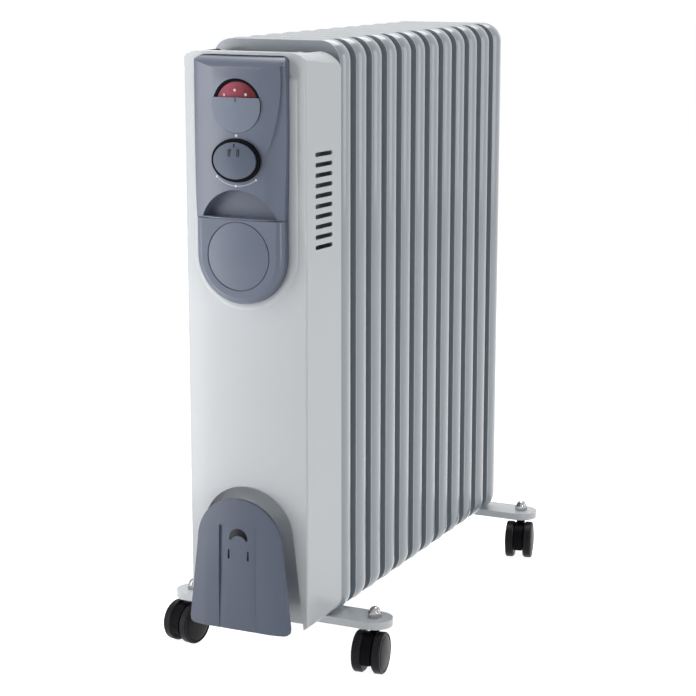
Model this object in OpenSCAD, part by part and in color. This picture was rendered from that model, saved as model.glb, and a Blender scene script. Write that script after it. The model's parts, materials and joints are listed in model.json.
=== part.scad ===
// Oil filled radiator heater on four twin-wheel castors.
// X runs across the heater, Y from the control end (-Y) to the rear (+Y), Z up from the floor.
// The origin is on the floor, in the middle of the heater's footprint.

/* [Radiator] */
// Number of radiator fins
fin_count = 12; // [8:1:13]
// Distance from one fin to the next
fin_pitch = 38; // [36:0.5:42]
// Width across a fin
fin_w = 145; // [140:1:156]
// Height of a fin
fin_h = 598; // [560:1:620]
// Height of the fins' lower edges above the floor
fin_z = 52; // [50:1:60]
// Corner radius of a fin's outline
fin_corner_r = 22; // [18:1:30]
// Depth of a fin's rolled edge
edge_depth = 30; // [27:0.5:32]
// Radius of the rolled edge's crown
crown_r = 25; // [22:1:32]
// Depth at which the rolled edge reaches furthest out
crown_depth = 17.5; // [14:0.5:19]
// Sheet thickness of the rolled edge
edge_t = 1; // [0.8:0.1:1.4]
// Thickness of the two sheets welded together
web_t = 1.6; // [1.2:0.1:2.4]
// Step from the rolled edge's crown in to the sheets' seam
seam_inset = 1; // [0.6:0.1:1.6]

/* [Oil passages] */
// Outer radius of the oil hubs
hub_r = 23; // [20:0.5:26]
// Wall of the hubs, headers and channels
oil_wall = 1.2; // [0.8:0.1:1.6]
// Distance of the hubs from the fin's upper and lower edges
hub_inset = 54; // [50:1:60]
// Radius of the dished header round each hub
header_r = 42; // [38:1:44]
// Half depth of the dished header
header_d = 7; // [5:0.5:9]
// Distance of each oil channel from the fin's middle
channel_x = 24; // [20:1:28]
// Width of an oil channel
channel_w = 32; // [24:1:36]
// Bulge of an oil channel on each side of the sheets
channel_d = 5; // [3.5:0.5:6]
// Thickness of the discs that close the end hubs
hub_cap_t = 2.5; // [2:0.5:4]

/* [Control housing] */
// How far the housing reaches past the fins on each side at its rear edge
housing_lap = 0.5; // [0:0.1:1.5]
// Angle of the housing's sides, which draw in towards the front
side_draft = 5; // [3.5:0.25:6]
// Depth of the control housing, front face to rear edge
housing_d = 69; // [60:1:80]
// Height of the housing's lower edge above the floor
housing_z = 55; // [54:1:60]
// Height of the housing's top above the floor
housing_top_z = 640; // [620:1:645]
// Wall of the housing
housing_t = 1.6; // [1.2:0.1:2.4]
// Bow of the front face across its width
front_bow = 2; // [1.5:0.25:3]
// Bend radius of the housing's upright front edges
front_corner_r = 4; // [3:0.5:6]
// Radius of the housing's corners seen from the front
face_corner_r = 22; // [18:1:26]
// Radius of the housing's side outline at its rear corners
side_corner_r = 19; // [12:1:26]
// Depth of the tray in the housing's top
top_tray_d = 2.5; // [1:0.5:4]
// Number of vent slots in each side
slot_count = 10; // [6:1:12]
// Length of a vent slot
slot_l = 32.5; // [24:0.5:36]
// Height of a vent slot
slot_h = 4.4; // [2.4:0.2:5]
// Distance from one vent slot to the next
slot_pitch = 10.2; // [8:0.2:12]
// Drop from the housing's top to the top vent slot
slot_drop = 99; // [90:1:110]
// Distance of the vent slots behind the housing's front
slot_inset = 19.5; // [17:0.5:24]
// Gap between the housing and the first fin
housing_gap = 0.4; // [0.3:0.1:1]
// Thickness of the housing's back plate
back_plate_t = 1.2; // [1:0.1:2]

/* [Front panels] */
// Clearance round each panel and knob
panel_gap = 0.3; // [0.2:0.1:0.6]
// How far the control panel stands out of the housing
panel_proud = 15; // [13:0.5:17]
// Width of the control panel at its widest
panel_w = 101.6; // [98:0.2:104]
// Radius of the gentle curve of the control panel's sides seen from the front
panel_side_sweep = 1850; // [1500:50:3000]
// Radius of the roll at the control panel's top
panel_roll_r = 20; // [14:1:21]
// Wall of the moulded panels
panel_t = 2.5; // [2:0.1:3.5]
// Crown radius of the control panel's front
panel_crown_r = 200; // [180:5:300]
// Sideways place of the crease where it starts at the top
crease_x = 46.2; // [44:0.1:46.4]
// Drop from the housing's top to the top of the crease
crease_drop = 25; // [22:1:40]
// Radius of the crease's sweep
crease_r = 190; // [170:5:240]
// Depth of the flute that the crease bounds
flute_depth = 1.6; // [1:0.1:1.8]
// Radius of the scoop's arch
scoop_r = 44; // [40:1:46]
// Height of the scoop
scoop_h = 28; // [22:1:32]
// Depth of the scoop
scoop_d = 17; // [13:1:19]
// Half width of the lower panel at its base
badge_panel_r = 48.5; // [45:0.5:49.5]
// Radius of the lower panel's rounded edge
badge_edge_r = 8; // [5:0.5:9]
// How far the lower panel stands out of the housing
badge_panel_proud = 13.5; // [10:0.5:14.5]
// Radius of the bare round disc in the lower panel
badge_r = 33.5; // [28:0.5:38]

/* [Controls] */
// Drop from the housing's top to the thermostat's centre
dial_drop = 51; // [49:1:55]
// Distance from the thermostat's centre down to the selector's
selector_pitch = 53; // [52:0.5:56]
// Distance from the selector's centre down to the seam between the panels
seam_pitch = 58.5; // [56:0.5:64]
// Radius of the thermostat knob
dial_r = 26.3; // [23:0.1:27]
// Height of the flat edge of the thermostat knob over its centre
dial_flat = 8; // [4:1:12]
// Half width of the selector's oval skirt
selector_r = 27; // [20:0.5:27]
// Half height of the selector's oval skirt
selector_half_h = 21.6; // [17:0.1:22]
// Width of the black skirt round the selector knob
skirt_w = 3.6; // [1.5:0.1:4]
// Height of the selector knob over the panel
selector_proud = 7; // [5:0.5:10]
// Radius of the control spindles
spindle_r = 3; // [2.5:0.1:3.5]
// Radial running clearance of the spindles and wheels
run_gap = 0.08; // [0.04:0.01:0.1]

/* [Cord store] */
// Radius of the arched top of the cord store's recess
store_r = 52; // [49:1:54]
// Height of the recess's top above the floor
store_top_z = 202.5; // [190:0.5:215]
// Angle at which the recess and the cord panel spread towards the floor
store_flare = 6.4; // [5:0.1:7]
// Depth of the recess
store_d = 26; // [20:1:30]
// Reveal between the recess and the cord panel at the arch
store_reveal = 4; // [3:0.5:6]
// How far the cord panel's top lies below the recess's top
store_drop = 7.5; // [5:0.5:12]
// How far the cord panel's top stands out of the housing
store_proud = 21.5; // [16:0.5:22]
// Lean of the cord panel towards its top
store_lean = 2; // [1:0.25:3]
// Crown radius of the cord panel
store_crown_r = 250; // [200:10:400]
// Width of the channel down the cord panel
store_channel_w = 43; // [36:1:46]
// Radius of the bore for a mains cord
cord_r = 3.8; // [3:0.1:4.5]
// Distance of the cord gland from the housing's rear edge
gland_inset = 23; // [22.5:0.5:26]

/* [Feet] */
// Half the distance between the left and right castor stems
foot_x = 108; // [100:1:116]
// Width of a foot bracket
foot_w = 38; // [32:1:42]
// Height of the brackets' top above the floor
foot_z = 55.5; // [54:0.5:58]
// Sheet thickness of the brackets
foot_t = 1.5; // [1.2:0.1:2.5]
// Height of the brackets' turned down rim
foot_rim = 8; // [6:0.5:10]
// Distance of the front foot's middle behind the first fin's seam
foot_front_y = 7; // [5:0.5:8]
// Distance of the rear foot's middle behind the last fin's seam
foot_rear_y = 24; // [21:0.5:26]
// Rod radius of the U-bolts
bolt_r = 2.5; // [2:0.1:3]

/* [Castors] */
// Radius of a castor wheel
wheel_r = 22; // [18:0.5:22.5]
// Width of a castor wheel at its rim
wheel_w = 10; // [8:0.5:12]
// Height of a wheel's domed outer face
wheel_dome = 2.6; // [1:0.2:4]
// Thickness of the hood between two wheels
hood_w = 10; // [9:0.5:12]
// Distance of the wheels' axle from the swivel stem
castor_trail = 13; // [10:1:15]
// Radius of the wheels' axle
axle_r = 2.5; // [2:0.1:3]
// How each castor stands turned: front left, front right, rear left, rear right
castor_turn = [-10, 7, -14, 14];

/* [Hidden] */
$fn = 64;
cut = 1;
housing_w = fin_w + 2 * housing_lap;
half_fin_w = fin_w / 2;
half_fin_h = fin_h / 2;
fin_mid_z = fin_z + half_fin_h;
hub_low_z = fin_z + hub_inset;
hub_high_z = fin_z + fin_h - hub_inset;
hub_y = half_fin_h - hub_inset;
web_mid = web_t / 2;

// Layout along Y, from the foremost face to the rear foot's rear edge.
radiator_run = (fin_count - 1) * fin_pitch;
front_reach = max(selector_proud + panel_proud, store_proud);
front_to_seam = front_reach + housing_d + housing_gap;
total_d = front_to_seam + radiator_run + foot_rear_y + foot_w / 2;
front_y = -total_d / 2;
housing_y = front_y + front_reach;
panel_y = housing_y - panel_proud;
housing_rear_y = housing_y + housing_d;
seam_y = housing_rear_y + housing_gap;
last_seam_y = seam_y + radiator_run;
foot_ys = [seam_y + foot_front_y, last_seam_y + foot_rear_y];

// U-bolts: the front one clasps the neck between the first two fins,
// the rear one clasps the last fin's rear hub.
bolt_ring_r = hub_r + 0.3 + bolt_r;
bolt_ys = [seam_y + web_mid + fin_pitch / 2 - 2, last_seam_y + web_mid + fin_pitch / 2 - 7];
bolt_clear = 0.4;
relief_gap = 0.3;
relief_half_w = bolt_ring_r + bolt_r + 6;
relief_h = 7;

// Housing
half_housing_w = housing_w / 2;
half_front_w = half_housing_w - housing_d * tan(side_draft);
front_bow_r = (pow(half_front_w, 2) + pow(front_bow, 2)) / (2 * front_bow);
front_top_r = 10;
store_floor_y = housing_y + store_d;
store_mid_z = store_top_z - store_r;
cord_panel_r = store_r - store_reveal;
cord_panel_top_z = store_top_z - store_drop;
cord_panel_mid_z = cord_panel_top_z - cord_panel_r;
cord_panel_corner_r = 7;
cord_panel_t = 4;
channel_depth = 2.4;
gland_y = housing_rear_y - gland_inset;
wall_gap = panel_gap;
top_tray_front = 18;
top_tray_rear = 8;
top_tray_side = 16;
housing_screw_x = 43;
housing_screw_r = 3.6;
screw_shank_r = 1.8;
tray_mid_y = housing_y + (housing_d + top_tray_front - top_tray_rear) / 2;
tray_floor_t = 2 * housing_t;
plate_rear_y = seam_y + web_mid - header_d;
plate_front_y = plate_rear_y - back_plate_t;
slot_y = housing_y + slot_inset;
slot_top_z = housing_top_z - slot_drop;

// Panels
dial_z = housing_top_z - dial_drop;
selector_z = dial_z - selector_pitch;
seam_z = selector_z - seam_pitch;
panel_top_z = housing_top_z - 3;
half_panel_w = panel_w / 2;
panel_wide_z = panel_top_z - 62;
panel_corner_r = 8;
panel_side_r = 8;
panel_side_y = 4.4;
crease_z = housing_top_z - crease_drop;
flute_half_w = 13;
flute_x = 43;
flute_run_out = 14;
flute_sag = flute_depth - pow(flute_half_w, 2) / (2 * panel_crown_r);
flute_r = (pow(flute_half_w, 2) + pow(flute_sag, 2)) / (2 * flute_sag);
flute_reach = panel_crown_r + flute_r - flute_depth;
flute_mid_x = flute_reach * flute_x / panel_crown_r;
flute_mid_y = panel_y + panel_crown_r - sqrt(pow(flute_reach, 2) - pow(flute_mid_x, 2));
panel_in = 8;
panel_back_y = housing_y + panel_in;
scoop_mid_z = seam_z + 1.5 + scoop_h - scoop_r;
scoop_floor_y = panel_y + scoop_d;
badge_mid_z = seam_z - 36.5;
badge_face_y = housing_y - badge_panel_proud;
badge_recess = 1.4;
dial_floor_y = panel_y + 5;
dial_recess_r = dial_r + panel_gap;
ring_t = 2.4;
selector_back_y = panel_y + 4;
skirt_t = 2.2;
knob_lift = 0.4;
floor_t = 2.5;

// Castors
axle_z = wheel_r;
wheel_in = hood_w / 2 + 0.4;
wheel_out = wheel_in + wheel_w;
hood_r = wheel_r - 0.8;
hood_low_z = 13;
socket_r = hood_w / 2;
stem_low_r = 2.8;
stem_r = 4;
neck_r = 6;
neck_low_z = 2 * wheel_r + 0.6;
collar_t = 2;
collar_z = foot_z - foot_t - collar_t;
neck_top_z = collar_z - 0.3;
stem_bore_z = axle_z - 2;
nut_r = 7.5;
nut_h = 5.5;
dome_r = 6.2;

FIN_NAMES = [for (i = [1:12]) str("fin_", i < 10 ? "0" : "", i)];
CORNERS = ["front_left", "front_right", "rear_left", "rear_right"];

fin_paint = [0.80, 0.82, 0.86];
housing_paint = [0.93, 0.93, 0.94];
panel_grey = [0.48, 0.53, 0.60];
panel_dark = [0.36, 0.41, 0.48];
black_plastic = [0.06, 0.06, 0.07];
bare_steel = [0.75, 0.75, 0.74];

// ---------- Shared shapes ----------

// Rounded rectangle round the origin
module rounded_rect(w, h, r) {
    square([w - 2 * r, h], center = true);
    square([w, h - 2 * r], center = true);
    for (x = [-1, 1], y = [-1, 1])
        translate([x * (w / 2 - r), y * (h / 2 - r)])
            circle(r);
}

// Stands a flat shape up: its Y becomes Z and its Z becomes +Y
module upright() {
    rotate([90, 0, 180])
        children();
}

// Extrudes a front-view outline (x, z) from y0 to y1
module front_prism(y0, y1) {
    translate([0, y1, 0])
        rotate([90, 0, 0])
            linear_extrude(y1 - y0)
                children();
}

// Extrudes a side-view outline (y, z) across the heater
module side_prism(half_w) {
    translate([-half_w, 0, 0])
        rotate([90, 0, 90])
            linear_extrude(2 * half_w)
                children();
}

// Cylinder along Y from y0 to y1
module y_cylinder(x, z, y0, y1, r) {
    translate([x, y1, z])
        rotate([90, 0, 0])
            cylinder(h = y1 - y0, r = r);
}

// ---------- Fins ----------

// Cross-section of the rolled edge: x = 0 is the crown, y is the depth behind the seam
module edge_profile() {
    root = crown_r - sqrt(pow(crown_r, 2) - pow(crown_depth, 2)) + 2 * edge_t;
    intersection() {
        translate([-crown_r, crown_depth])
            difference() {
                circle(crown_r);
                circle(crown_r - edge_t);
            }
        translate([-root, web_mid])
            square([root + cut, edge_depth - web_mid]);
    }
}

// The rolled edge swept round a fin's outline, lying flat
module rolled_edge() {
    r = fin_corner_r;
    for (turn = [0, 180])
        rotate([0, 0, turn]) {
            translate([half_fin_w, half_fin_h - r, 0])
                rotate([90, 0, 0])
                    linear_extrude(fin_h - 2 * r)
                        edge_profile();
            rotate([0, 0, 90])
                translate([half_fin_h, half_fin_w - r, 0])
                    rotate([90, 0, 0])
                        linear_extrude(fin_w - 2 * r)
                            edge_profile();
        }
    for (turn = [0, 90, 180, 270]) {
        x = (turn == 0 || turn == 270) ? half_fin_w - r : r - half_fin_w;
        y = turn < 180 ? half_fin_h - r : r - half_fin_h;
        translate([x, y, 0])
            rotate([0, 0, turn])
                rotate_extrude(angle = 90)
                    translate([r, 0])
                        edge_profile();
    }
}

// Lens-shaped cross-section of an oil channel
module channel_lens(w, d) {
    r = (pow(w / 2, 2) + pow(d, 2)) / (2 * d);
    intersection() {
        translate([0, d - r])
            circle(r, $fn = 160);
        translate([0, r - d])
            circle(r, $fn = 160);
    }
}

// Oil passages of one fin, lying flat; inset takes the wall off
module oil_passages(inset, hub_len) {
    for (side = [-1, 1])
        translate([side * channel_x, hub_y, web_mid])
            rotate([90, 0, 0])
                linear_extrude(2 * hub_y)
                    channel_lens(channel_w - 3 * inset, channel_d - inset);
    for (end = [-1, 1])
        translate([0, end * hub_y, web_mid]) {
            translate([0, 0, -hub_len / 2])
                cylinder(h = hub_len, r = hub_r - inset);
            for (face = [0, 180])
                rotate([face, 0, 0])
                    cylinder(h = header_d - inset, r1 = header_r - inset, r2 = header_r - header_d - inset);
        }
}

// Room under the end fins for the foot bracket and its U-bolt
module foot_relief(y) {
    floor_z = foot_z + relief_gap;
    half_w = half_fin_w + 2 * cut;
    translate([-half_w, y - foot_w / 2 - relief_gap, fin_z - cut])
        cube([2 * half_w, foot_w + 2 * relief_gap, floor_z - fin_z + cut]);
    translate([-relief_half_w, y - foot_w, fin_z - cut])
        cube([2 * relief_half_w, 2 * foot_w, relief_h + floor_z - fin_z + cut]);
}

module fin(i) {
    y = seam_y + i * fin_pitch;
    sheet_w = fin_w - 2 * seam_inset;
    sheet_h = fin_h - 2 * seam_inset;
    color(fin_paint)
        difference() {
            translate([0, y, fin_mid_z])
                upright()
                    difference() {
                        union() {
                            linear_extrude(web_t)
                                rounded_rect(sheet_w, sheet_h, fin_corner_r - seam_inset);
                            rolled_edge();
                            oil_passages(0, fin_pitch);
                        }
                        oil_passages(oil_wall, fin_pitch + 2 * cut);
                    }
            if (i == 0)
                foot_relief(foot_ys[0]);
            if (i == fin_count - 1)
                foot_relief(foot_ys[1]);
        }
}

// ---------- Control housing ----------

// Plan of the housing: bowed front, sides spreading to the rear; inset takes the wall off
module housing_plan(inset) {
    r = front_corner_r - inset;
    mid_y = front_corner_r + 0.5 * front_bow;
    mid_x = half_front_w + (mid_y + front_corner_r * sin(side_draft)) * tan(side_draft)
        - front_corner_r * cos(side_draft);
    side_x = mid_x + r * cos(side_draft);
    side_y = mid_y - r * sin(side_draft);
    rear_y = housing_d + cut;
    rear_x = side_x + (rear_y - side_y) * tan(side_draft);
    intersection() {
        translate([0, front_bow_r + inset])
            circle(front_bow_r, $fn = 360);
        union() {
            polygon([
                [-rear_x, rear_y], [-side_x, side_y], [-mid_x, mid_y], [-mid_x, 0],
                [mid_x, 0], [mid_x, mid_y], [side_x, side_y], [rear_x, rear_y]
            ]);
            for (x = [-mid_x, mid_x])
                translate([x, mid_y])
                    circle(r);
        }
    }
}

// Side outline of the housing: rounded rear corners and a softer front top
module housing_side(inset) {
    r = side_corner_r - inset;
    front_r = front_top_r - inset;
    y0 = housing_y + inset;
    z0 = housing_z + inset;
    z1 = housing_top_z - inset;
    rear = housing_rear_y;
    translate([y0, z0])
        square([rear - y0 - r, z1 - z0 - front_r]);
    translate([y0 + front_r, z0])
        square([rear - y0 - r - front_r, z1 - z0]);
    translate([y0, z0 + r])
        square([rear - y0, z1 - z0 - 2 * r]);
    translate([y0 + front_r, z1 - front_r])
        circle(front_r);
    for (z = [z0 + r, z1 - r])
        translate([rear - r, z])
            circle(r);
}

// Front outline of the housing with its rounded corners
module housing_face(inset) {
    face_w = housing_w + 1 - 2 * inset;
    translate([0, (housing_z + housing_top_z) / 2])
        rounded_rect(face_w, housing_top_z - housing_z - 2 * inset, face_corner_r - inset);
}

// Housing's outer form, or its inside when inset by the wall
module housing_form(inset) {
    intersection() {
        translate([0, housing_y, housing_z + inset])
            linear_extrude(housing_top_z - housing_z - 2 * inset)
                housing_plan(inset);
        side_prism(housing_w)
            housing_side(inset);
        front_prism(housing_y - cut, housing_rear_y + cut)
            housing_face(inset);
    }
}

// Arched outline whose sides spread towards the floor
module flared_arch(r, mid_z, foot) {
    foot_half = r + (mid_z - foot) * tan(store_flare);
    translate([0, mid_z])
        circle(r);
    polygon([[-r, mid_z], [-foot_half, foot], [foot_half, foot], [r, mid_z]]);
}

// Front view of the cord store's recess; inset makes it smaller
module store_outline(inset) {
    flared_arch(store_r - inset, store_mid_z, housing_z - cut);
}

// Front view of the cord panel: the arch with its lower corners taken off
module cord_panel_outline() {
    r = cord_panel_r;
    c = cord_panel_corner_r;
    foot = housing_z + 2;
    mid_z = cord_panel_mid_z;
    half = r + (mid_z - foot) * tan(store_flare);
    translate([0, mid_z])
        circle(r);
    polygon([
        [-r, mid_z],
        [-half + c * tan(store_flare), foot + c], [-half + 0.2 * c, foot + 0.35 * c],
        [-half + 0.5 * c, foot + 0.1 * c], [-half + c, foot],
        [half - c, foot], [half - 0.5 * c, foot + 0.1 * c],
        [half - 0.2 * c, foot + 0.35 * c], [half - c * tan(store_flare), foot + c],
        [r, mid_z]
    ]);
}

// Front view of the lower panel; grow makes it larger
module badge_outline(grow) {
    translate([0, badge_mid_z])
        circle(badge_panel_r + grow);
    translate([-badge_panel_r - grow, badge_mid_z])
        square([2 * (badge_panel_r + grow), seam_z - badge_mid_z + grow]);
}

// Openings in the housing's front behind the panels
module panel_openings() {
    front_prism(housing_y - 4 * cut, housing_y + panel_in + 2) {
        panel_front(-panel_gap);
        badge_outline(panel_gap);
    }
}

// Slanted vent slots through both sides
module vent_slots() {
    for (i = [0:slot_count - 1])
        translate([0, slot_y + slot_h / 2, slot_top_z - i * slot_pitch])
            side_prism(housing_w) {
                translate([0, -slot_h / 2])
                    square([slot_l - slot_h, slot_h]);
                for (end = [0, slot_l - slot_h])
                    translate([end, 0])
                        circle(slot_h / 2, $fn = 24);
            }
}

// Rounded bead pressed round both panels
module pressed_rim() {
    bead_r = 8;
    bead_x = badge_panel_r + 4;
    bead_y = housing_y + bead_r - 1;
    bead_top_z = panel_top_z - 24;
    intersection() {
        union() {
            translate([0, bead_y, badge_mid_z])
                rotate([90, 0, 0])
                    rotate([0, 0, 180])
                        rotate_extrude(angle = 180)
                            translate([bead_x, 0])
                                circle(bead_r);
            for (x = [-bead_x, bead_x]) {
                translate([x, bead_y, badge_mid_z])
                    cylinder(h = bead_top_z - badge_mid_z, r = bead_r);
                translate([x, bead_y, bead_top_z])
                    sphere(bead_r);
            }
        }
        translate([-housing_w, housing_y - 4 * cut, housing_z])
            cube([2 * housing_w, 4 * cut + 2, housing_top_z - housing_z]);
    }
}

// Room in the housing's rear edge for the first fin's two headers
module header_relief() {
    for (z = [hub_low_z, hub_high_z])
        translate([0, seam_y + web_mid, z])
            rotate([90, 0, 0])
                cylinder(
                    h = header_d + wall_gap, r1 = header_r + 2 * wall_gap,
                    r2 = header_r - header_d + wall_gap
                );
}

module front_cover() {
    tray_w = housing_w - 2 * top_tray_side;
    tray_l = housing_d - top_tray_front - top_tray_rear;
    tray_z = housing_top_z - top_tray_d - tray_floor_t;
    back_w = housing_w - 2 * housing_t - 2 * cut;
    color(housing_paint)
        difference() {
            union() {
                difference() {
                    housing_form(0);
                    difference() {
                        housing_form(housing_t);
                        front_prism(housing_y - cut, store_floor_y + housing_t)
                            store_outline(-housing_t);
                        translate([-tray_w / 2 - housing_t, housing_y, tray_z])
                            cube([
                                tray_w + 2 * housing_t, housing_d - top_tray_rear + housing_t,
                                top_tray_d + tray_floor_t
                            ]);
                    }
                    translate([-back_w / 2, housing_rear_y - side_corner_r, housing_z + side_corner_r])
                        cube([
                            back_w, side_corner_r + cut,
                            housing_top_z - housing_z - 2 * side_corner_r
                        ]);
                }
                pressed_rim();
            }
            front_prism(housing_y - 2 * cut, store_floor_y)
                store_outline(0);
            panel_openings();
            vent_slots();
            header_relief();
            translate([0, tray_mid_y, housing_top_z - top_tray_d])
                linear_extrude(2 * top_tray_d)
                    rounded_rect(tray_w, tray_l, 6);
            for (x = [-housing_screw_x, housing_screw_x])
                translate([x, tray_mid_y, housing_top_z - 4 * top_tray_d])
                    cylinder(h = 5 * top_tray_d, r = screw_shank_r + 0.2);
            translate([-housing_screw_x, gland_y, housing_z - cut])
                cylinder(h = housing_t + 2 * cut, r = cord_r + 2.8);
        }
}

// Sheet seated on the first fin's headers, with a shelf that the top screws hold
module back_plate() {
    lip = 9;
    lip_y = plate_front_y - lip;
    half = half_housing_w - housing_t - 2 * wall_gap - (housing_rear_y - lip_y) * tan(side_draft);
    corner_in = side_corner_r - housing_t;
    corner_y = plate_rear_y - housing_rear_y + corner_in;
    low = housing_z + side_corner_r - sqrt(pow(corner_in, 2) - pow(max(0, corner_y), 2)) + wall_gap;
    high = housing_top_z - top_tray_d - tray_floor_t;
    plate_high = high - back_plate_t / 2;
    shelf_half = half - side_corner_r;
    shelf_front = tray_mid_y - 8;
    color(housing_paint)
        difference() {
            union() {
                front_prism(plate_front_y, plate_rear_y)
                    translate([0, (low + plate_high) / 2])
                        rounded_rect(2 * half, plate_high - low, side_corner_r);
                for (x = [-half, half - back_plate_t])
                    translate([x, lip_y, low + side_corner_r])
                        cube([back_plate_t, lip + back_plate_t, high - low - 2 * side_corner_r]);
                translate([-shelf_half, shelf_front, high - back_plate_t])
                    cube([2 * shelf_half, plate_front_y + back_plate_t / 2 - shelf_front, back_plate_t]);
            }
            for (z = [hub_low_z, hub_high_z])
                y_cylinder(0, z, plate_front_y - cut, plate_rear_y + cut, hub_r + wall_gap);
            for (x = [-housing_screw_x, housing_screw_x])
                translate([x, tray_mid_y, high - 2 * back_plate_t])
                    cylinder(h = 3 * back_plate_t, r = screw_shank_r + 0.05);
        }
}

module housing_screws() {
    color(bare_steel)
        for (x = [-housing_screw_x, housing_screw_x])
            translate([x, tray_mid_y, housing_top_z - top_tray_d]) {
                difference() {
                    cylinder(h = 1.8, r1 = housing_screw_r, r2 = housing_screw_r - 1);
                    translate([-0.5, -housing_screw_r, 1])
                        cube([1, 2 * housing_screw_r, 1]);
                    translate([-housing_screw_r, -0.5, 1])
                        cube([2 * housing_screw_r, 1, 1]);
                }
                translate([0, 0, -7])
                    cylinder(h = 7, r = screw_shank_r);
            }
}

// ---------- Front panels ----------

// Plan of the control panel: crowned front, rounded sides
module panel_plan(inset) {
    half = half_panel_w + 1.2 - inset;
    depth = panel_proud + panel_in;
    side_y = panel_side_y + panel_side_r;
    intersection() {
        translate([0, panel_crown_r + inset])
            circle(panel_crown_r, $fn = 360);
        union() {
            translate([-half, side_y])
                square([2 * half, depth - side_y + inset + 1]);
            translate([panel_side_r - half, 0])
                square([2 * (half - panel_side_r), depth]);
            for (x = [-1, 1])
                translate([x * (half - panel_side_r), side_y + inset])
                    circle(panel_side_r);
        }
    }
}

// Front outline of the control panel: gently curved sides and rounded top corners
module panel_front(inset) {
    half = half_panel_w - inset;
    low = seam_z + panel_gap + inset;
    high = panel_top_z - inset;
    r = panel_corner_r;
    intersection() {
        translate([half - panel_side_sweep, panel_wide_z])
            circle(panel_side_sweep, $fn = 720);
        translate([panel_side_sweep - half, panel_wide_z])
            circle(panel_side_sweep, $fn = 720);
        union() {
            translate([-half - cut, low])
                square([2 * (half + cut), high - r - low]);
            translate([r - half, low])
                square([2 * (half - r), high - low]);
            for (x = [r - half, half - r])
                translate([x, high - r])
                    circle(r);
        }
    }
}

// Side outline of the control panel: face rolled back at the top
module panel_side(inset) {
    y = panel_y + inset;
    r = panel_roll_r - inset;
    z0 = seam_z;
    z1 = panel_top_z - inset;
    rear = panel_back_y + inset;
    translate([y, z0])
        square([rear - y, z1 - r - z0]);
    translate([y + r, z0])
        square([rear - y - r, z1 - z0]);
    translate([y + r, z1 - r])
        circle(r);
}

module panel_form(inset) {
    intersection() {
        translate([0, panel_y, seam_z])
            linear_extrude(panel_top_z - seam_z)
                panel_plan(inset);
        side_prism(half_panel_w + 2 * cut)
            panel_side(inset);
        front_prism(panel_y - cut, panel_back_y + 2 * cut + inset)
            panel_front(inset);
    }
}

// Upright flute in the panel's right side, bounded by the curved crease
module crease_flute() {
    flute_h = crease_z + flute_run_out - seam_z;
    intersection() {
        translate([flute_mid_x, flute_mid_y, seam_z - cut])
            cylinder(h = flute_h, r = flute_r, $fn = 180);
        front_prism(panel_y - 2 * cut, panel_back_y)
            difference() {
                translate([flute_x - flute_half_w - 1, seam_z - 2 * cut])
                    square([2 * flute_half_w + 2, flute_h + 2 * cut]);
                translate([crease_x - crease_r, crease_z])
                    circle(crease_r, $fn = 360);
            }
    }
}

// Arched outline of the scoop; grow adds the wall
module scoop_outline(grow) {
    intersection() {
        translate([0, scoop_mid_z])
            circle(scoop_r + grow);
        translate([-scoop_r - grow, seam_z + 1.5 - grow])
            square([2 * (scoop_r + grow), scoop_h + 2 * grow]);
    }
}

module control_panel() {
    color(panel_grey)
        difference() {
            union() {
                difference() {
                    panel_form(0);
                    panel_form(panel_t);
                }
                intersection() {
                    panel_form(0);
                    union() {
                        front_prism(panel_y, scoop_floor_y + panel_t)
                            scoop_outline(panel_t);
                        y_cylinder(0, dial_z, panel_y, dial_floor_y + floor_t, dial_recess_r + panel_t);
                        y_cylinder(0, selector_z, panel_y, selector_back_y, spindle_r + 6);
                    }
                }
            }
            front_prism(panel_y - cut, scoop_floor_y)
                scoop_outline(0);
            y_cylinder(0, dial_z, panel_y - cut, dial_floor_y, dial_recess_r);
            for (z = [dial_z, selector_z])
                y_cylinder(0, z, panel_y - cut, panel_y + 12, spindle_r + 1);
            y_cylinder(14, dial_z + 14, panel_y, panel_y + 12, 4.3);
            crease_flute();
        }
}

// Half section across the lower panel: rounded edge, open back; inset takes the wall off
module badge_section(inset) {
    depth = badge_panel_proud + 6;
    r = badge_panel_r - inset;
    edge = badge_edge_r - inset;
    translate([0, inset])
        square([r - edge, depth - inset + (inset > 0 ? cut : 0)]);
    translate([0, badge_edge_r])
        square([r, depth - badge_edge_r + (inset > 0 ? cut : 0)]);
    translate([r - edge, badge_edge_r])
        circle(edge);
}

// Lower panel's form: a half round below, straight up to the seam
module badge_form(inset) {
    translate([0, badge_face_y, badge_mid_z])
        rotate([-90, 0, 0])
            rotate_extrude(angle = 180)
                intersection() {
                    badge_section(inset);
                    square(4 * badge_panel_r);
                }
    translate([0, badge_face_y, badge_mid_z])
        linear_extrude(seam_z - inset - badge_mid_z)
            for (side = [0, 1])
                mirror([side, 0])
                    intersection() {
                        badge_section(inset);
                        square(4 * badge_panel_r);
                    }
}

module badge_panel() {
    color(panel_grey)
        difference() {
            badge_form(0);
            y_cylinder(0, badge_mid_z, badge_face_y - cut, badge_face_y + badge_recess, badge_r + 1);
            difference() {
                badge_form(panel_t);
                y_cylinder(0, badge_mid_z, badge_face_y, badge_face_y + badge_recess + panel_t, badge_r + 4);
            }
        }
}

// Half section of a disc of radius r whose top is crowned by dome; h is its height at the rim
module domed_section(r, h, dome) {
    steps = 10;
    crown = [for (k = [0:steps]) [r * k / steps, h + dome * (1 - pow(k / steps, 2))]];
    polygon(concat([[0, 0]], crown, [[r, 0]]));
}

// Bare disc with a gently domed face
module badge_disc() {
    color(panel_grey)
        translate([0, badge_face_y + badge_recess, badge_mid_z])
            rotate([90, 0, 0])
                rotate_extrude()
                    domed_section(badge_r, 1.2, 1.4);
}

// ---------- Controls ----------

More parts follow.
